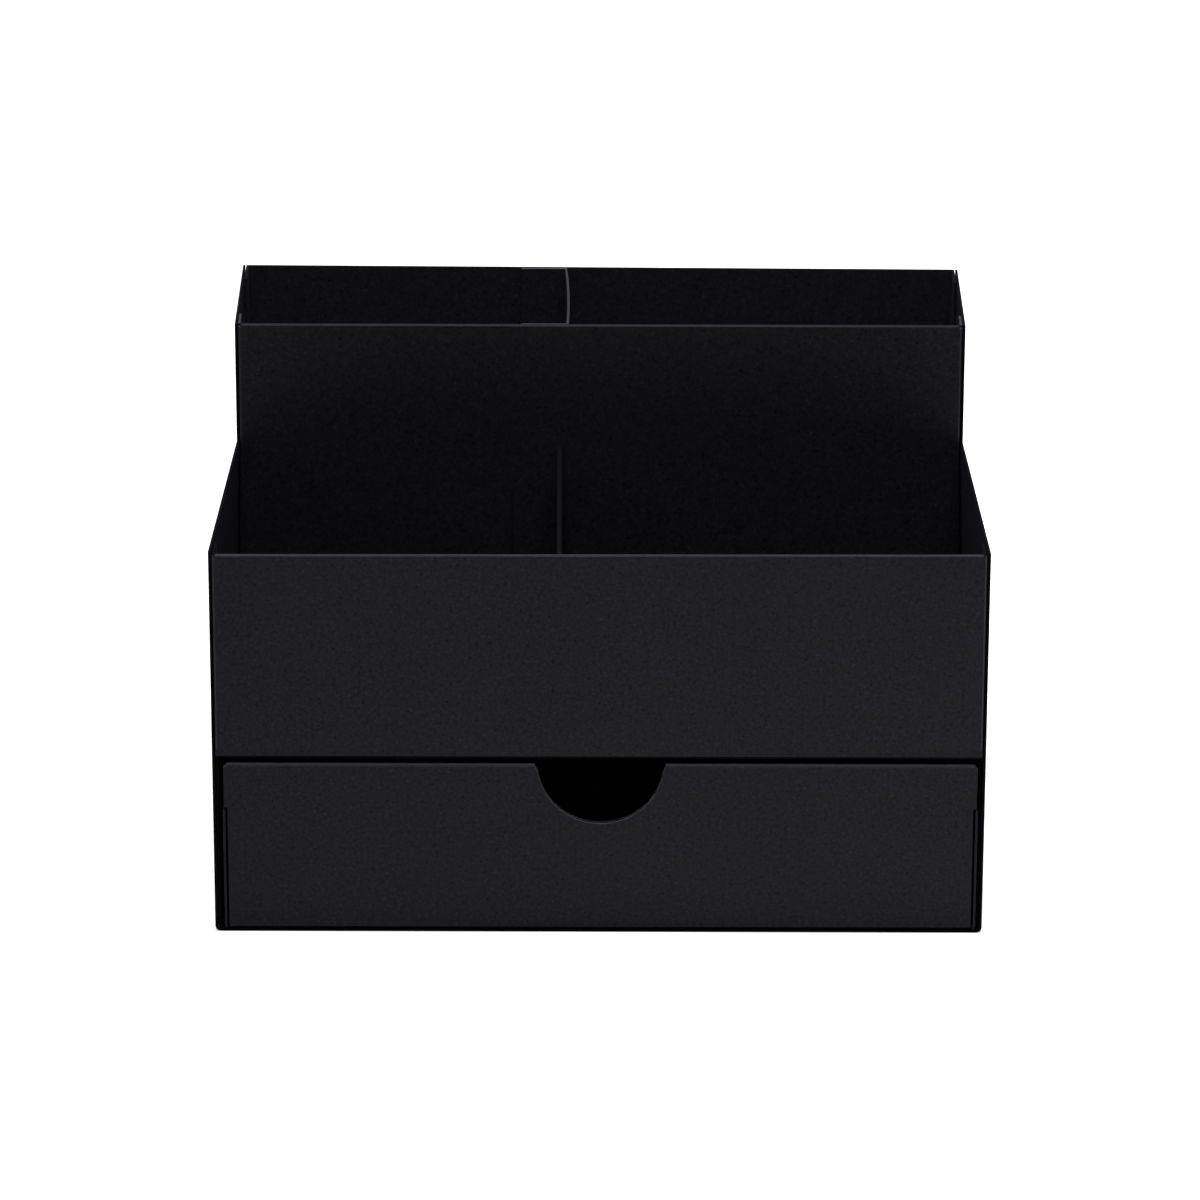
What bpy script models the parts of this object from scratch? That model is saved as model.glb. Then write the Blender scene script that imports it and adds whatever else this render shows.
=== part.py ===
"""Makeup organizer of folded black paperboard.

A stepped box: two low compartments in front, two tall ones behind, and a shallow drawer under both.
Every piece is a blank of board that is creased, folded and glued. The origin is the middle of the
resting face: +X is to the right, the front faces -Y, +Z is up. Lengths are in metres.
"""

import math

import bmesh
import bpy
from mathutils import Vector

MM = 0.001

# Overall sizes
WIDTH = 250 * MM
FRONT_DEPTH = 122 * MM
REAR_DEPTH = 76 * MM
FRONT_HEIGHT = 130 * MM
REAR_HEIGHT = 171 * MM
SIDE_DRAW_IN = 1.7 * MM
FRONT_RIM_LEAN = 0.5 * MM
REAR_RIM_LEAN = 1.0 * MM

# The board and how it is folded and glued
BOARD = 0.8 * MM
GLUE_GAP = 0.3 * MM
FOLD_RADIUS = 0.95 * MM
CREASE_RADIUS = 0.28 * MM
CASING_FOLD_RADIUS = 1.8 * MM
CASING_SETBACK = 0.4 * MM
PANEL_HOLLOW = 0.7 * MM
FRONT_RIM_DROP = 1.0 * MM
HEM_RADIUS = 1.4 * MM
HEM_DEPTH = 1.7 * MM
SIDE_FLAP = 14 * MM
BACK_FLAP = 18 * MM
FOOT_FLAP = 14 * MM
ROLL_OVERLAP = 0.1 * MM

# The shelf and the drawer bay under it
BAY_CLEARANCE = 1.75 * MM
BAY_SIDE_CLEARANCE = 0.75 * MM

# The drawer, which stands a little to the right in its bay
DRAWER_SHIFT = 0.5 * MM
DRAWER_SETBACK = 0.3 * MM
DRAWER_BACK_CLEARANCE = 5.4 * MM
DRAWER_FRONT_HEIGHT = 57.1 * MM
DRAWER_WALL_HEIGHT = 41.5 * MM
DRAWER_SLIT = 0.7 * MM
EAR_INSET = 0.4 * MM
EAR_CHAMFER_WIDTH = 1.2 * MM
EAR_CHAMFER_HEIGHT = 1.4 * MM
NOTCH_RADIUS = 20.3 * MM
NOTCH_CHAMFER_WIDTH = 1.3 * MM
NOTCH_CHAMFER_HEIGHT = 3.0 * MM

# The dividers
REAR_DIVIDER_FRONT_X = -10.6 * MM
REAR_DIVIDER_BACK_X = -11.6 * MM
REAR_DIVIDER_BOW = 0.6 * MM
REAR_DIVIDER_DROP = 0.1 * MM
FRONT_DIVIDER_FRONT_X = -12.1 * MM
FRONT_DIVIDER_BACK_X = -12.9 * MM
FRONT_DIVIDER_DROP = 0.4 * MM
DIVIDER_FLAP = 16 * MM
FRONT_DIVIDER_SLANT = 15 * MM

# How finely curves are stepped, and how far a cutter runs past what it cuts
FOLD_STEPS = 6
CREASE_STEPS = 3
FOLD_ANGLE = math.radians(30)
NOTCH_STEPS = 32
BOW_STEPS = 8
DRAW_IN_COLUMNS = 6
DRAW_IN_ROWS = 3
OVERRUN = 5 * MM

# Places that follow from the sizes above
FRONT_Y = -(FRONT_DEPTH + REAR_DEPTH) / 2
BACK_Y = -FRONT_Y
MIDDLE_Y = FRONT_Y + FRONT_DEPTH
CASING_INSIDE_X = WIDTH / 2 - BOARD
LINING_X = CASING_INSIDE_X - GLUE_GAP
LEAF_X = LINING_X - BOARD - GLUE_GAP
PANEL_THICKNESS = 2 * BOARD + PANEL_HOLLOW
DRAWER_X = LINING_X - BOARD - BAY_SIDE_CLEARANCE
DRAWER_Y = FRONT_Y + DRAWER_SETBACK
DRAWER_Z = BOARD + GLUE_GAP
DRAWER_DEPTH = BACK_Y - FOOT_FLAP - DRAWER_BACK_CLEARANCE - DRAWER_Y
FRONT_PANEL_Z = DRAWER_Z + DRAWER_FRONT_HEIGHT + BAY_CLEARANCE
SHELF_BOTTOM_Z = FRONT_PANEL_Z + BOARD + GLUE_GAP
SHELF_Z = SHELF_BOTTOM_Z + BOARD
FLOOR_Z = SHELF_Z + GLUE_GAP
FRONT_RIM_Z = FRONT_HEIGHT - FRONT_RIM_DROP
REAR_RIM_Z = REAR_HEIGHT - ROLL_OVERLAP


# Building blocks


def new_collection(name):
    collection = bpy.data.collections.new(name)
    bpy.context.scene.collection.children.link(collection)
    return collection


def board_material(name, colour, roughness):
    """Matt black board: the colour is linear, as the shader takes it."""
    material = bpy.data.materials.new(name)
    material.use_nodes = True
    shader = material.node_tree.nodes["Principled BSDF"]
    shader.inputs["Base Color"].default_value = (*colour, 1)
    shader.inputs["Roughness"].default_value = roughness
    shader.inputs["Metallic"].default_value = 0
    material.diffuse_color = (*colour, 1)
    return material


def draw_in(point):
    """How far a side wall is pulled in at this height and depth, where the middle wall is glued to it."""
    if point.y < MIDDLE_Y:
        along = (point.y - FRONT_Y) / FRONT_DEPTH
    else:
        along = (BACK_Y - point.y) / REAR_DEPTH
    up = (point.z - SHELF_Z) / (FRONT_HEIGHT - SHELF_Z)
    return SIDE_DRAW_IN * min(max(along, 0), 1) * min(max(up, 0), 1)


def rim_lean(point):
    """How far a point rises with the rims: the front one is higher at its right, the rear at its left."""
    if point.y < MIDDLE_Y:
        lean = FRONT_RIM_LEAN * min((MIDDLE_Y - point.y) / FRONT_DEPTH, 1)
        up = (point.z - SHELF_Z) / (FRONT_HEIGHT - SHELF_Z)
    else:
        lean = -REAR_RIM_LEAN * min((point.y - MIDDLE_Y) / REAR_DEPTH, 1)
        up = (point.z - SHELF_Z) / (REAR_HEIGHT - SHELF_Z)
    return lean * point.x / WIDTH * min(max(up, 0), 1)


def sheet(path, across, start, end):
    """An open sheet through the path, seen from the front (Y), from the right (X) or from above (Z).

    The path runs with the sheet's outer face on its right.
    """
    place = {
        "X": lambda u, v, w: Vector((w, u, v)),
        "Y": lambda u, v, w: Vector((u, w, v)),
        "Z": lambda u, v, w: Vector((u, v, w)),
    }[across]
    bm = bmesh.new()
    ends = [bm.verts.new(place(u, v, start)) for u, v in path]
    edges = [bm.edges.new(pair) for pair in zip(ends, ends[1:])]
    grown = bmesh.ops.extrude_edge_only(bm, edges=edges)["geom"]
    moved = [item for item in grown if isinstance(item, bmesh.types.BMVert)]
    bmesh.ops.translate(bm, verts=moved, vec=place(0, 0, end - start))
    bmesh.ops.recalc_face_normals(bm, faces=bm.faces)
    (u0, v0), (u1, v1) = path[:2]
    outward = place(v1 - v0, u0 - u1, 0)
    face = min(bm.faces, key=lambda f: (f.calc_center_median() - (ends[0].co + ends[1].co) / 2).length)
    if face.normal.dot(outward) < 0:
        bmesh.ops.reverse_faces(bm, faces=bm.faces)
    return bm


def crease(bm, axis, place):
    """Cuts the sheet's faces along a plane, so that they can bend there."""
    point, normal = Vector(), Vector()
    point[axis] = place
    normal[axis] = 1
    geometry = bm.verts[:] + bm.edges[:] + bm.faces[:]
    bmesh.ops.bisect_plane(bm, geom=geometry, plane_co=point, plane_no=normal)


def pull_in(bm):
    """Bends a sheet with the side walls and the rims."""
    rise = FRONT_HEIGHT - SHELF_Z
    for row in range(DRAW_IN_ROWS + 1):
        crease(bm, 2, SHELF_Z + rise * row / DRAW_IN_ROWS)
    for vert in bm.verts:
        vert.co.z += rim_lean(vert.co)
        vert.co.x *= 1 - draw_in(vert.co) / (WIDTH / 2)


def as_object(name, bm, collection):
    mesh = bpy.data.meshes.new(name)
    bm.to_mesh(mesh)
    bm.free()
    obj = bpy.data.objects.new(name, mesh)
    collection.objects.link(obj)
    return obj


def mark_folds(obj, soft_top):
    """Marks each fold of the sheet as soft, up to that height, or as a sharp crease above it."""
    bm = bmesh.new()
    bm.from_mesh(obj.data)
    soft = bm.edges.layers.float.new("soft_fold")
    crease = bm.edges.layers.float.new("creased_fold")
    for edge in bm.edges:
        if edge.calc_face_angle(0) > FOLD_ANGLE:
            top = max(vert.co.z for vert in edge.verts)
            edge[soft if top <= soft_top else crease] = 1
    bm.to_mesh(obj.data)
    bm.free()


def round_folds(obj, mark, radius, steps):
    bevel = obj.modifiers.new(mark, "BEVEL")
    bevel.width = radius
    bevel.segments = steps
    bevel.limit_method = "WEIGHT"
    bevel.edge_weight = mark


def fold(obj, soft_radius=FOLD_RADIUS, soft_top=math.inf):
    """Gives the sheet the board's thickness, behind its outer face, and rounds its folds.

    A soft fold bends the whole board. A crease is pressed sharp, so only its edge is rounded.
    """
    mark_folds(obj, soft_top)
    round_folds(obj, "soft_fold", soft_radius, FOLD_STEPS)
    board = obj.modifiers.new("board", "SOLIDIFY")
    board.thickness = BOARD
    board.offset = -1
    board.use_even_offset = True
    round_folds(obj, "creased_fold", CREASE_RADIUS, CREASE_STEPS)
    return obj


def boolean(obj, other, operation):
    modifier = obj.modifiers.new(other.name, "BOOLEAN")
    modifier.object = other
    modifier.operation = operation
    modifier.solver = "EXACT"
    other.hide_render = True
    other.display_type = "WIRE"
    return modifier


def block(name, low, high):
    """A box between two corners, as a cutter."""
    bm = bmesh.new()
    bmesh.ops.create_cube(bm, size=1)
    low, high = Vector(low), Vector(high)
    bmesh.ops.scale(bm, vec=high - low, verts=bm.verts)
    bmesh.ops.translate(bm, vec=(low + high) / 2, verts=bm.verts)
    return as_object(name, bm, cutters)


def outline_block(name, outline, depth):
    """An outline seen from the front: a flat curve, extruded both ways and made a mesh for a Boolean."""
    curve = bpy.data.curves.new(name, "CURVE")
    curve.dimensions = "2D"
    curve.fill_mode = "BOTH"
    curve.extrude = depth
    spline = curve.splines.new("POLY")
    spline.points.add(len(outline) - 1)
    for point, (u, v) in zip(spline.points, outline):
        point.co = (u, v, 0, 1)
    spline.use_cyclic_u = True
    drawn = bpy.data.objects.new(name, curve)
    drawn.rotation_euler = (math.pi / 2, 0, 0)
    cutters.objects.link(drawn)
    bpy.context.view_layer.update()
    graph = bpy.context.evaluated_depsgraph_get()
    mesh = bpy.data.meshes.new_from_object(drawn.evaluated_get(graph))
    bm = bmesh.new()
    bm.from_mesh(mesh)
    bmesh.ops.remove_doubles(bm, verts=bm.verts, dist=0.0001 * MM)
    bmesh.ops.recalc_face_normals(bm, faces=bm.faces)
    bm.to_mesh(mesh)
    bm.free()
    solid = bpy.data.objects.new(name, mesh)
    solid.matrix_world = drawn.matrix_world
    cutters.objects.link(solid)
    bpy.data.objects.remove(drawn)
    return solid


def face_path(points, face_y, facing):
    """A panel's profile, given as (distance behind the outer face, height), for one facing -Y or +Y."""
    placed = [(face_y - facing * behind, other) for behind, other in points]
    return placed if facing < 0 else placed[::-1]


def plan_path(points, face_y, facing):
    """A panel's plan, given as (x, distance behind the outer face)."""
    placed = [(x, face_y - facing * behind) for x, behind in points]
    return placed if facing < 0 else placed[::-1]


def corner_flaps(name, collection, half_width, face_y, facing, bottom, top, flap, bends=True):
    """A panel between the side walls with a glue flap folded along each of them."""
    path = [(-half_width, flap), (-half_width, 0), (half_width, 0), (half_width, flap)]
    bm = sheet(plan_path(path, face_y, facing), "Z", bottom, top)
    if bends:
        pull_in(bm)
    return fold(as_object(name, bm, collection))


def leaf(name, collection, profile, half_width, face_y, facing, bends=True, foot_radius=FOLD_RADIUS):
    """A panel folded about level lines, with a soft fold at its foot and creases above it."""
    bm = sheet(face_path(profile, face_y, facing), "X", -half_width, half_width)
    if bends:
        pull_in(bm)
    foot_z = min(height for behind, height in profile)
    return fold(as_object(name, bm, collection), foot_radius, foot_z + BOARD)


def rolled_panel(name, face_y, bottom, top, foot_z, foot_radius):
    """A doubled panel between the side walls: the board rolls over the rim and comes down inside.

    Glue flaps run back along the side walls, and a foot runs back under or over the shelf.
    """
    panel = corner_flaps(name, parts, LINING_X, face_y, -1, bottom, top, SIDE_FLAP)
    relief = block(
        name + "_roll_relief",
        (-LEAF_X + ROLL_OVERLAP, face_y - OVERRUN, top - CREASE_RADIUS - FRONT_RIM_LEAN),
        (LEAF_X - ROLL_OVERLAP, face_y + PANEL_THICKNESS, top + OVERRUN),
    )
    boolean(panel, relief, "DIFFERENCE")
    inner_bottom = bottom + (GLUE_GAP + BOARD if foot_z == bottom else 0)
    inner = [(PANEL_THICKNESS, inner_bottom), (PANEL_THICKNESS, top)]
    outer = [(0, top), (0, foot_z), (FOOT_FLAP, foot_z)]
    rolled = leaf(name + "_leaf", cutters, inner + outer, LEAF_X, face_y, -1, True, foot_radius)
    boolean(panel, rolled, "UNION")
    return panel


# The pieces


def make_outer_casing():
    """One blank: the base and two stepped side walls, drawn in where the middle wall is glued."""
    half = WIDTH / 2
    path = [(-half, REAR_HEIGHT), (-half, 0), (half, 0), (half, REAR_HEIGHT)]
    bm = sheet(path, "Y", FRONT_Y + CASING_SETBACK, BACK_Y - CASING_SETBACK)
    crease(bm, 1, MIDDLE_Y)
    for column in range(1, DRAW_IN_COLUMNS):
        crease(bm, 1, FRONT_Y + FRONT_DEPTH * column / DRAW_IN_COLUMNS)
        crease(bm, 1, BACK_Y - REAR_DEPTH * column / DRAW_IN_COLUMNS)
    pull_in(bm)
    casing = fold(as_object("outer_casing", bm, parts), CASING_FOLD_RADIUS)
    step = block(
        "casing_step",
        (-half - OVERRUN, FRONT_Y - OVERRUN, FRONT_HEIGHT),
        (half + OVERRUN, MIDDLE_Y + CASING_SETBACK, REAR_HEIGHT + OVERRUN),
    )
    boolean(casing, step, "DIFFERENCE")
    return casing


def make_compartment_floor():
    """The shelf under the compartments, with a leg folded down along each side wall to its bottom fold."""
    leg_z = CASING_FOLD_RADIUS
    path = [(LINING_X, leg_z), (LINING_X, SHELF_Z), (-LINING_X, SHELF_Z), (-LINING_X, leg_z)]
    front_y = FRONT_Y + HEM_DEPTH + GLUE_GAP
    back_y = BACK_Y - BOARD - GLUE_GAP
    return fold(as_object("compartment_floor", sheet(path, "Y", front_y, back_y), parts))


def make_front_panel():
    """It ends below in a soft hem, as wide as the panel, with its foot under the shelf."""
    panel = rolled_panel("front_panel", FRONT_Y, FLOOR_Z, FRONT_RIM_Z, FRONT_PANEL_Z, HEM_RADIUS)
    profile = [(0, FLOOR_Z + BOARD), (0, FRONT_PANEL_Z), (HEM_DEPTH, FRONT_PANEL_Z)]
    hem = leaf("front_panel_hem", cutters, profile, LINING_X, FRONT_Y, -1, False, HEM_RADIUS)
    boolean(panel, hem, "UNION")
    return panel


def make_middle_wall():
    return rolled_panel("middle_wall", MIDDLE_Y, FLOOR_Z, REAR_RIM_Z, FLOOR_Z, FOLD_RADIUS)


def make_back_panel():
    """A single leaf with flaps along the side walls, above the shelf, and a foot glued to the base."""
    panel = corner_flaps("back_panel", parts, LINING_X, BACK_Y, 1, FLOOR_Z, REAR_RIM_Z, BACK_FLAP)
    profile = [(0, FLOOR_Z + FOOT_FLAP), (0, DRAWER_Z), (FOOT_FLAP, DRAWER_Z)]
    boolean(panel, leaf("back_panel_leaf", cutters, profile, LEAF_X, BACK_Y, 1, False), "UNION")
    return panel


def divider(name, front, back, bow, front_y, back_y, bottom, top):
    """A single leaf across a tier, with a glue flap turned to the left at each end."""
    path = [(front - DIVIDER_FLAP, front_y)]
    for step in range(BOW_STEPS + 1):
        share = step / BOW_STEPS
        x = front + (back - front) * share + 4 * bow * share * (1 - share)
        path.append((x, front_y + (back_y - front_y) * share))
    path.append((back - DIVIDER_FLAP, back_y))
    return fold(as_object(name, sheet(path, "Z", bottom, top), parts), soft_top=-math.inf)


def make_rear_divider():
    front_y = MIDDLE_Y + PANEL_THICKNESS + GLUE_GAP
    back_y = BACK_Y - BOARD - GLUE_GAP
    bottom = FLOOR_Z + BOARD + GLUE_GAP
    top = REAR_RIM_Z - REAR_DIVIDER_DROP
    front_x, back_x = REAR_DIVIDER_FRONT_X, REAR_DIVIDER_BACK_X
    return divider("rear_divider", front_x, back_x, REAR_DIVIDER_BOW, front_y, back_y, bottom, top)


def make_front_divider():
    """Two leaves glued together: the left one turns into the flaps, whose tops slant down."""
    front_y = FRONT_Y + PANEL_THICKNESS + GLUE_GAP
    back_y = MIDDLE_Y - GLUE_GAP
    top = FRONT_RIM_Z - FRONT_DIVIDER_DROP
    front_x, back_x = FRONT_DIVIDER_FRONT_X, FRONT_DIVIDER_BACK_X
    step = BOARD - ROLL_OVERLAP
    piece = divider("front_divider", front_x - step, back_x - step, 0, front_y, back_y, FLOOR_Z, top)
    right_leaf = sheet([(front_x, front_y), (back_x, back_y)], "Z", FLOOR_Z, top)
    boolean(piece, fold(as_object("front_divider_right_leaf", right_leaf, cutters)), "UNION")
    fold_x = min(front_x, back_x) - step - BOARD - CREASE_RADIUS
    end_x = fold_x - DIVIDER_FLAP
    low = top - FRONT_DIVIDER_SLANT
    slant = [(fold_x, top + OVERRUN), (fold_x, top), (end_x, low), (end_x, top + OVERRUN)]
    boolean(piece, outline_block("front_divider_slant", slant, 2 * FRONT_DEPTH), "DIFFERENCE")
    return piece


def make_drawer_tray():
    """Base, sides and back, in the drawer's own frame: its front edge and underside are at zero.

    The base is cut back at the front, behind the drawer front's hem.
    """
    top = DRAWER_WALL_HEIGHT
    path = [(-DRAWER_X, top), (-DRAWER_X, 0), (DRAWER_X, 0), (DRAWER_X, top)]
    tray = fold(as_object("drawer_tray", sheet(path, "Y", 0, DRAWER_DEPTH - FOLD_RADIUS), parts))
    flat_x = DRAWER_X - FOLD_RADIUS
    front_edge = block(
        "drawer_base_front_edge",
        (-flat_x, -OVERRUN, -OVERRUN),
        (flat_x, HEM_DEPTH + GLUE_GAP, BOARD + OVERRUN),
    )
    boolean(tray, front_edge, "DIFFERENCE")
    flap_x, end_y = DRAWER_X - BOARD + ROLL_OVERLAP, DRAWER_DEPTH
    flaps = corner_flaps("drawer_back_flaps", cutters, flap_x, end_y, 1, BOARD / 2, top, SIDE_FLAP, False)
    profile = [(0, top), (0, 0), (FOOT_FLAP, 0)]
    back = leaf("drawer_back_leaf", cutters, profile, flap_x - FOLD_RADIUS, end_y, 1, False)
    boolean(tray, flaps, "UNION")
    boolean(tray, back, "UNION")
    return tray


def drawer_front_outline():
    """Seen from outside: slits beside the side walls, ears over them and a half-moon for the thumb."""
    body = DRAWER_X - BOARD - DRAWER_SLIT
    ear = DRAWER_X - EAR_INSET
    ear_z = DRAWER_WALL_HEIGHT + GLUE_GAP
    top = DRAWER_FRONT_HEIGHT
    start = math.asin(NOTCH_CHAMFER_HEIGHT / NOTCH_RADIUS)
    notch = NOTCH_RADIUS * math.cos(start) + NOTCH_CHAMFER_WIDTH
    right = [
        (body, -OVERRUN),
        (body, ear_z),
        (ear, ear_z),
        (ear, top - EAR_CHAMFER_HEIGHT),
        (ear - EAR_CHAMFER_WIDTH, top),
        (ear - EAR_CHAMFER_WIDTH, top + OVERRUN),
        (notch, top + OVERRUN),
        (notch, top),
    ]
    arc = []
    for step in range(NOTCH_STEPS + 1):
        angle = start + (math.pi - 2 * start) * step / NOTCH_STEPS
        arc.append((NOTCH_RADIUS * math.cos(angle), top - NOTCH_RADIUS * math.sin(angle)))
    return right + arc + [(-x, z) for x, z in right[::-1]]


def make_drawer_front():
    """A doubled front rolled softly over its rim: a hem below, and a foot glued on the drawer's base."""
    foot_z = 2 * BOARD + GLUE_GAP
    top = DRAWER_FRONT_HEIGHT
    back = PANEL_THICKNESS
    profile = [(back + FOOT_FLAP, foot_z), (back, foot_z), (back, top), (0, top), (0, 0), (HEM_DEPTH, 0)]
    rolled = sheet(face_path(profile, 0, -1), "X", -DRAWER_X, DRAWER_X)
    front = fold(as_object("drawer_front", rolled, parts))
    outline = outline_block("drawer_front_outline", drawer_front_outline(), 2 * FOOT_FLAP)
    boolean(front, outline, "INTERSECT").use_self = True
    return front


# Assembly

for leftover in list(bpy.data.objects):
    bpy.data.objects.remove(leftover)

parts = new_collection("makeup_organizer")
cutters = new_collection("makeup_organizer_cutters")

FACE_BLACK = (0.0145, 0.0140, 0.0180)
BOARD_ROUGHNESS = 0.6

body_frame = bpy.data.objects.new("organizer_body", None)
parts.objects.link(body_frame)
drawer_frame = bpy.data.objects.new("drawer_slide", None)
drawer_frame.location = (DRAWER_SHIFT, DRAWER_Y, DRAWER_Z)
parts.objects.link(drawer_frame)

BODY_PIECES = (
    make_outer_casing,
    make_compartment_floor,
    make_front_panel,
    make_middle_wall,
    make_back_panel,
    make_rear_divider,
    make_front_divider,
)
DRAWER_PIECES = (make_drawer_tray, make_drawer_front)

for makers, carrier in ((BODY_PIECES, body_frame), (DRAWER_PIECES, drawer_frame)):
    for make in makers:
        piece = make()
        piece.parent = carrier
        piece.data.materials.append(board_material(piece.name + "_board", FACE_BLACK, BOARD_ROUGHNESS))

for helper in cutters.objects:
    if helper.name.startswith("drawer"):
        helper.parent = drawer_frame
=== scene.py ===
"""The looks of the makeup organizer: matt black board, studio light and the photograph's camera.

Lengths are in metres and angles in degrees, in the frame of the CAD model: +X right, +Y to the back, +Z up.
Colours are linear.
"""

import math

import bpy
from mathutils import Euler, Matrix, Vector


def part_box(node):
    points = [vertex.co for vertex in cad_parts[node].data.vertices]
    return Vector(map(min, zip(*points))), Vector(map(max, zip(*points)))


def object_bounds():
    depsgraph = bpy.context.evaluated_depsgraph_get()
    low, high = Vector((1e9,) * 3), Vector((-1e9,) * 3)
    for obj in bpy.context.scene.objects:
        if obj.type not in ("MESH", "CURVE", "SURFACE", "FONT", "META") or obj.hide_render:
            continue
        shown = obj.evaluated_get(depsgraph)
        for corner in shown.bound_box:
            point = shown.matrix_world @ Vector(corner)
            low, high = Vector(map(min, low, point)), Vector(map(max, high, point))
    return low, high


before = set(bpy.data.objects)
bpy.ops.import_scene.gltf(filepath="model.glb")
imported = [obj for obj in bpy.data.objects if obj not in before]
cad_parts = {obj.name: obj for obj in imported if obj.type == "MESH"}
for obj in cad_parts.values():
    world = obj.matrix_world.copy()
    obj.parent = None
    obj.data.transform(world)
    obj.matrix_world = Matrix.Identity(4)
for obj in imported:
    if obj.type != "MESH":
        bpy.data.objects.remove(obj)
cad_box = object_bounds()

# The camera, fitted to the corners of the organizer in the 1200 x 1200 photograph
CAMERA_PLACE = (0.0002, -1.8001, 0.6837)
CAMERA_PITCH_DOWN = 18.507
CAMERA_ROLL = 0.15
CAMERA_LENS_MM = 168.27
SENSOR_MM = 36.0

# The laminated face of the board
BOARD_COLOUR = (0.0130, 0.0122, 0.0165)
BOARD_ROUGHNESS = 0.45
ROUGHNESS_SWING = 0.08
BOARD_SPECULAR = 0.03
# The casing's walls are seen at a low angle, where more sheen would turn them grey
CASING_SPECULAR = 0.005
FACE_RELIEF = 0.00003
FACE_EDGE_RADIUS = 0.0004
# The drawer front is painted lighter along its edges that turn up, a painted highlight which draws the line
# round its thumb notch
NOTCHED_EDGE_RADIUS = 0.0006
NOTCHED_EDGE_HIGHLIGHT = 10.0
EDGE_HIGHLIGHT_TURN = (0.06, 0.4)

# Patterns of the board; a noise has about as many grains along a metre as its scale says
MOTTLE = {"Scale": 28, "Detail": 4, "Roughness": 0.6}
SPECKLE = {"Scale": 850, "Detail": 3, "Roughness": 0.65}
FIBRE = {"Scale": 2400, "Detail": 3, "Roughness": 0.7}
MOTTLE_SHADE = (0.9, 1.1)
MOTTLE_ROUGH = (0.95, 1.05)
FIBRE_SHADE = (0.5, 1.5)
FLECKS_EVEN = 0.5
FLECKS_STRONG = 6.5
DARKEST_FLECK = 0.05

# Board where the laminate ends, and copies of the board that are painted highlights and painted shade, by
# the end of its name: colour, roughness and specular level
BOARD_VARIANTS = {
    # Dark board for the cut edges, and painted shade on the rolls along the lower edges of the fronts
    "cut_edge_and_painted_shade": ((0.0019, 0.0018, 0.0026), 0.9, 0.02),
    # A painted highlight: the rear divider's top, lighter than the other cut edges
    "painted_highlight_edge": ((0.0150, 0.0145, 0.0185), 0.6, 0.03),
    # A painted highlight on the drawer front's rolled top edge and the rear divider's flap top, much lighter
    # than the face
    "painted_highlight_fold": ((0.0560, 0.0545, 0.0640), 0.5, 0.05),
    # Painted highlights on the upright corner folds of the front panel and of the middle wall
    "painted_highlight_front_fold": ((0.0290, 0.0280, 0.0350), 0.5, 0.05),
    "painted_highlight_side_fold": ((0.0190, 0.0182, 0.0240), 0.5, 0.05),
    # The middle wall's top edge: darker than the face, a painted shade, and rougher with less sheen
    "painted_shade_rim": ((0.0100, 0.0097, 0.0127), 0.7, 0.02),
}
BARE_RELIEF = 0.00004
BARE_EDGE_RADIUS = 0.0002
BEVEL_SAMPLES = 4
SHARP_ANGLE = 30

# The studio. The floor is painted darker at the left, a painted shade in place of weaker light there, and
# its colour makes up for the top light's cool tint
FLOOR_COLOUR = (1.0, 0.935, 0.905)
FLOOR_SIZE = 8
FLOOR_GAP = 0.0002
FLOOR_PAINTED_SHADE_X = (-0.28, 0.28)
FLOOR_PAINTED_SHADE = (0.66, 1.0)
FLOOR_GLOW = 0.6
WORLD_LIGHT = 0.02
WORLD_SHOWN = 1.0
WHITE = (1, 1, 1)
COOL_WHITE = (0.90, 1.035, 1.075)


# Shader nodes


def new_material(name):
    material = bpy.data.materials.new(name)
    material.use_nodes = True
    tree = material.node_tree
    return material, tree, tree.nodes["Principled BSDF"]


def put(tree, value, socket):
    """A plain number is set on the socket, and the output of another node is linked to it."""
    if isinstance(value, bpy.types.NodeSocket):
        tree.links.new(value, socket)
    else:
        socket.default_value = value


def calculate(tree, operation, *values):
    node = tree.nodes.new("ShaderNodeMath")
    node.operation = operation
    for value, socket in zip(values, node.inputs):
        put(tree, value, socket)
    return node.outputs["Value"]


def noise(tree, pattern, place):
    node = tree.nodes.new("ShaderNodeTexNoise")
    for socket, value in pattern.items():
        node.inputs[socket].default_value = value
    tree.links.new(place, node.inputs["Vector"])
    return node.outputs["Fac"]


def map_range(tree, value, target, source=(0.0, 1.0), interpolation="LINEAR"):
    node = tree.nodes.new("ShaderNodeMapRange")
    node.interpolation_type = interpolation
    for name, limit in zip(("From Min", "From Max", "To Min", "To Max"), (*source, *target)):
        node.inputs[name].default_value = limit
    tree.links.new(value, node.inputs["Value"])
    return node.outputs["Result"]


def scaled(tree, colour, factor):
    node = tree.nodes.new("ShaderNodeVectorMath")
    node.operation = "SCALE"
    node.inputs[0].default_value = colour
    tree.links.new(factor, node.inputs["Scale"])
    return node.outputs["Vector"]


def along(tree, vector, axis):
    node = tree.nodes.new("ShaderNodeSeparateXYZ")
    tree.links.new(vector, node.inputs["Vector"])
    return node.outputs[axis]


def object_place(tree):
    return tree.nodes.new("ShaderNodeTexCoord").outputs["Object"]


def rounded_edges(tree, radius):
    node = tree.nodes.new("ShaderNodeBevel")
    node.samples = BEVEL_SAMPLES
    node.inputs["Radius"].default_value = radius
    return node.outputs["Normal"]


def bump(tree, height, distance, shader, rounded):
    node = tree.nodes.new("ShaderNodeBump")
    node.inputs["Strength"].default_value = 1.0
    node.inputs["Distance"].default_value = distance
    tree.links.new(height, node.inputs["Height"])
    tree.links.new(rounded, node.inputs["Normal"])
    tree.links.new(node.outputs["Normal"], shader.inputs["Normal"])


# The board


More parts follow.
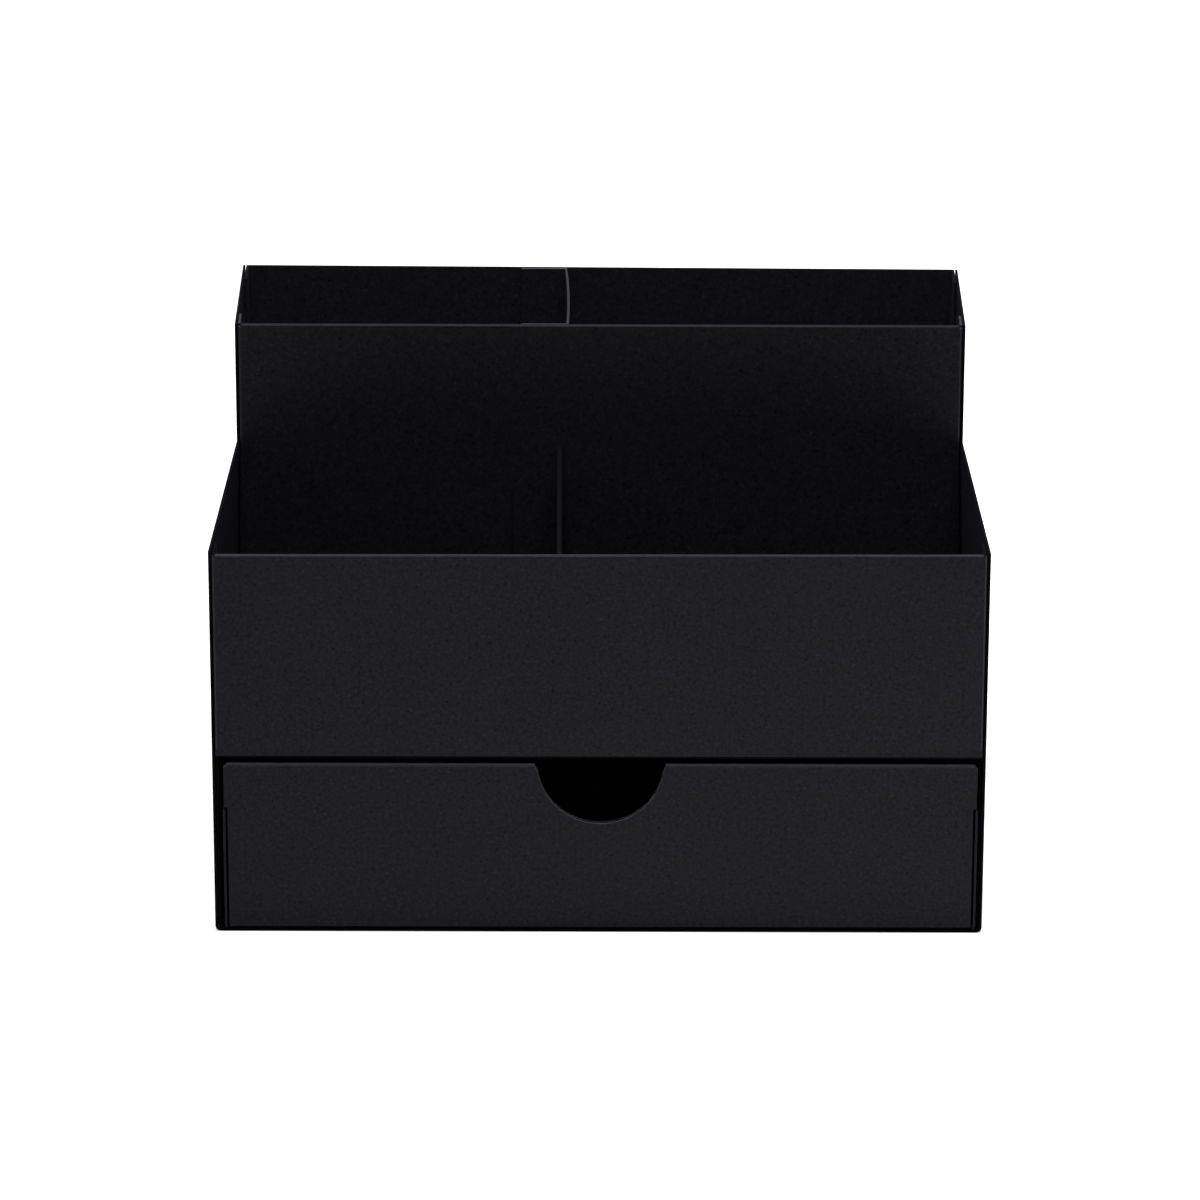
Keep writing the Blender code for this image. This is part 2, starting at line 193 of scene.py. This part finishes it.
def flecked(tree, speckle):
    """Even grain with a few strong flecks, light and dark: 1 + EVEN t + STRONG t^3 for t from -1 to 1."""
    swing = map_range(tree, speckle, (-1.0, 1.0))
    square = calculate(tree, "MULTIPLY", swing, swing)
    gain = calculate(tree, "MULTIPLY_ADD", square, FLECKS_STRONG, FLECKS_EVEN)
    shade = calculate(tree, "MULTIPLY_ADD", swing, gain, 1.0)
    return calculate(tree, "MAXIMUM", shade, DARKEST_FLECK)


def painted_edge_highlight(tree, rounded, most):
    """1 on the flat, up to most where an edge turns up: a painted highlight that makes the board lighter
    there.
    """
    normal = tree.nodes.new("ShaderNodeNewGeometry").outputs["Normal"]
    turn = calculate(tree, "SUBTRACT", along(tree, rounded, "Z"), along(tree, normal, "Z"))
    return map_range(tree, turn, (1.0, most), EDGE_HIGHLIGHT_TURN)


def black_board(name, specular=BOARD_SPECULAR, edge_radius=FACE_EDGE_RADIUS, highlight_gain=1.0):
    """Matt laminated board: even black with a fine speckle, faint mottling and a dull sheen."""
    material, tree, shader = new_material(name)
    place = object_place(tree)
    mottle = noise(tree, MOTTLE, place)
    speckle = noise(tree, SPECKLE, place)
    rounded = rounded_edges(tree, edge_radius)
    shade = calculate(tree, "MULTIPLY", map_range(tree, mottle, MOTTLE_SHADE), flecked(tree, speckle))
    # A painted highlight on the edges that turn up
    if highlight_gain > 1:
        shade = calculate(tree, "MULTIPLY", shade, painted_edge_highlight(tree, rounded, highlight_gain))
    tree.links.new(scaled(tree, BOARD_COLOUR, shade), shader.inputs["Base Color"])
    swing = (BOARD_ROUGHNESS - ROUGHNESS_SWING, BOARD_ROUGHNESS + ROUGHNESS_SWING)
    grain = map_range(tree, speckle, swing)
    rough = calculate(tree, "MULTIPLY", map_range(tree, mottle, MOTTLE_ROUGH), grain)
    tree.links.new(rough, shader.inputs["Roughness"])
    shader.inputs["Specular IOR Level"].default_value = specular
    bump(tree, speckle, FACE_RELIEF, shader, rounded)
    return material


def board_variant(name, colour, roughness, specular):
    """Board where the laminate ends, and copies with a painted highlight or painted shade: fibre, rougher
    than the face.
    """
    material, tree, shader = new_material(name)
    fibre = noise(tree, FIBRE, object_place(tree))
    tree.links.new(scaled(tree, colour, map_range(tree, fibre, FIBRE_SHADE)), shader.inputs["Base Color"])
    shader.inputs["Roughness"].default_value = roughness
    shader.inputs["Specular IOR Level"].default_value = specular
    bump(tree, fibre, BARE_RELIEF, shader, rounded_edges(tree, BARE_EDGE_RADIUS))
    return material


board = black_board("black_board")
casing = black_board("black_board_casing", specular=CASING_SPECULAR)
# The drawer front's board has the painted highlight along its edges that turn up
notched = black_board("black_board_drawer_front", edge_radius=NOTCHED_EDGE_RADIUS, highlight_gain=NOTCHED_EDGE_HIGHLIGHT)
variants = {name: board_variant("black_board_" + name, *values) for name, values in BOARD_VARIANTS.items()}


# Cut edges and folds, with painted highlights and painted shade on some of them, told by where a polygon
# faces and where it lies

# How much of a polygon's normal lies along an axis
FACING = 0.7
SQUARE = 0.9
ASIDE = 0.3
RIM_ROLL = (0.5, 0.995)
BOTTOM_ROLL = (-0.98, -0.3)
FORWARD = -0.1
FOLD_TURN = (0.3, 0.85)

# How far each edge or fold reaches
NOTCH_REACH = 0.0222
FLAP_X = 0.115
RIM_DROP = 0.0004
RIM_ROLL_HEIGHT = 0.0012
BOTTOM_ROLL_HEIGHT = 0.0015
REAR_FLAP_DEPTH = 0.0009

drawer_low, drawer_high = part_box("drawer_front")
drawer_middle = (drawer_low[0] + drawer_high[0]) / 2
rear_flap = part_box("rear_divider")[1][1] - REAR_FLAP_DEPTH


def level_cut(normal, centre):
    return normal.z > FACING


def end_cut(normal, centre):
    return abs(normal.y) > FACING


def notch_cut(normal, centre):
    beside = abs(centre.x - drawer_middle) < NOTCH_REACH
    return beside and abs(normal.y) < ASIDE and normal.z > 0 and centre.z < drawer_high[2] - RIM_DROP


def rolled_rim(normal, centre):
    rolled = normal.y < 0 and RIM_ROLL[0] < normal.z < RIM_ROLL[1]
    return rolled and centre.z > drawer_high[2] - RIM_ROLL_HEIGHT


def painted_shade_roll(node):
    """The test for the roll along the lower edge of a front, which faces forward and down and gets painted
    shade.
    """
    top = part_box(node)[0][2] + BOTTOM_ROLL_HEIGHT

    def chosen(normal, centre):
        return BOTTOM_ROLL[0] < normal.z < BOTTOM_ROLL[1] and normal.y < FORWARD and centre.z < top

    return chosen


def upright_fold(normal, centre):
    turned = FOLD_TURN[0] < abs(normal.x) < FOLD_TURN[1]
    return turned and normal.y < -ASIDE and abs(normal.z) < ASIDE


def flap_top(normal, centre):
    return normal.z > FACING and abs(centre.x) > FLAP_X


def rear_flap_top(normal, centre):
    return normal.z > FACING and centre.y > rear_flap


def rim_top(normal, centre):
    return normal.z > SQUARE and abs(centre.x) < FLAP_X


# The nodes whose face isn't the plain board
FACES = {"outer_casing": casing, "drawer_front": notched}

# The polygons of a node that take another board than its face, some of them painted highlights and painted
# shade: a test and the variant
VARIANT_POLYGONS = {
    "outer_casing": [(level_cut, "cut_edge_and_painted_shade"), (end_cut, "cut_edge_and_painted_shade")],
    "compartment_floor": [(end_cut, "cut_edge_and_painted_shade")],
    "front_panel": [
        # Painted shade on the roll along the panel's lower edge
        (painted_shade_roll("front_panel"), "cut_edge_and_painted_shade"),
        # A painted highlight on the panel's upright corner folds
        (upright_fold, "painted_highlight_front_fold"),
        (flap_top, "cut_edge_and_painted_shade"),
    ],
    # A painted highlight on the upright corner folds, and painted shade on the top edge
    "middle_wall": [(upright_fold, "painted_highlight_side_fold"), (rim_top, "painted_shade_rim")],
    "front_divider": [(level_cut, "cut_edge_and_painted_shade")],
    # Painted highlights on the rear divider's top and on its flap's top
    "rear_divider": [(level_cut, "painted_highlight_edge"), (rear_flap_top, "painted_highlight_fold")],
    "back_panel": [(level_cut, "cut_edge_and_painted_shade")],
    "drawer_front": [
        (notch_cut, "cut_edge_and_painted_shade"),
        # A painted highlight on the drawer front's rolled top edge
        (rolled_rim, "painted_highlight_fold"),
        # Painted shade on the roll along the drawer front's lower edge
        (painted_shade_roll("drawer_front"), "cut_edge_and_painted_shade"),
    ],
}


def dress(name):
    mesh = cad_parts[name].data
    mesh.materials.clear()
    mesh.materials.append(FACES.get(name, board))
    for index, (chosen, variant) in enumerate(VARIANT_POLYGONS.get(name, []), 1):
        mesh.materials.append(variants[variant])
        for polygon in mesh.polygons:
            if chosen(polygon.normal, polygon.center):
                polygon.material_index = index
    mesh.shade_smooth()
    mesh.set_sharp_from_angle(angle=math.radians(SHARP_ANGLE))


# The studio


def shown_white(tree):
    """1 for the rays that show the white ground, 0 for the light that falls on the object."""
    rays = tree.nodes.new("ShaderNodeLightPath").outputs
    mirrored = calculate(tree, "MAXIMUM", rays["Is Camera Ray"], rays["Is Glossy Ray"])
    return calculate(tree, "MAXIMUM", mirrored, rays["Is Transmission Ray"])


def make_floor():
    floor_height = cad_box[0][2] - FLOOR_GAP
    bpy.ops.mesh.primitive_plane_add(size=FLOOR_SIZE, location=(0, 0, floor_height))
    floor = bpy.context.object
    floor.name = "studio_floor"
    material, tree, shader = new_material("studio_white")
    tree.nodes.remove(shader)
    lit = tree.nodes.new("ShaderNodeBsdfDiffuse")
    across = along(tree, object_place(tree), "X")
    # Painted shade: the floor is darker towards the left
    painted_shade = map_range(tree, across, FLOOR_PAINTED_SHADE, FLOOR_PAINTED_SHADE_X, "SMOOTHSTEP")
    tree.links.new(scaled(tree, FLOOR_COLOUR, painted_shade), lit.inputs["Color"])
    glow = tree.nodes.new("ShaderNodeEmission")
    tree.links.new(calculate(tree, "MULTIPLY", shown_white(tree), FLOOR_GLOW), glow.inputs["Strength"])
    both = tree.nodes.new("ShaderNodeAddShader")
    tree.links.new(lit.outputs["BSDF"], both.inputs[0])
    tree.links.new(glow.outputs["Emission"], both.inputs[1])
    tree.links.new(both.outputs["Shader"], tree.nodes["Material Output"].inputs["Surface"])
    floor.data.materials.append(material)


def make_world():
    world = bpy.data.worlds.new("studio_world")
    world.use_nodes = True
    bpy.context.scene.world = world
    tree = world.node_tree
    background = tree.nodes["Background"]
    background.inputs["Color"].default_value = (*WHITE, 1)
    strength = map_range(tree, shown_white(tree), (WORLD_LIGHT, WORLD_SHOWN))
    tree.links.new(strength, background.inputs["Strength"])


def softbox(name, place, target, size, power, colour=WHITE):
    data = bpy.data.lights.new(name, "AREA")
    data.color = colour
    data.shape = "RECTANGLE"
    data.size, data.size_y = size
    data.energy = power
    lamp = bpy.data.objects.new(name, data)
    lamp.location = place
    lamp.rotation_euler = (Vector(target) - Vector(place)).to_track_quat("-Z", "Y").to_euler()
    bpy.context.scene.collection.objects.link(lamp)


def make_camera():
    data = bpy.data.cameras.new("photo_camera")
    data.sensor_width = SENSOR_MM
    data.lens = CAMERA_LENS_MM
    camera = bpy.data.objects.new("photo_camera", data)
    camera.location = CAMERA_PLACE
    tilt = Euler((math.radians(90 - CAMERA_PITCH_DOWN), 0, 0)).to_matrix()
    roll = Euler((0, 0, math.radians(CAMERA_ROLL))).to_matrix()
    camera.rotation_euler = (tilt @ roll).to_euler()
    bpy.context.scene.collection.objects.link(camera)
    bpy.context.scene.camera = camera


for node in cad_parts:
    dress(node)
make_floor()
make_world()
softbox("top_softbox", (-0.03, -0.02, 1.8), (0, 0, 0.05), (0.6, 0.6), 52.3, COOL_WHITE)
softbox("key_softbox", (0.1, -0.95, 1.9), (0, 0, 0.1), (0.8, 0.4), 11.8)
softbox("left_softbox", (-1.9, -1.5, 1.2), (0, 0, 0.08), (1.0, 1.2), 2)
make_camera()
bpy.context.scene.view_settings.view_transform = "Standard"
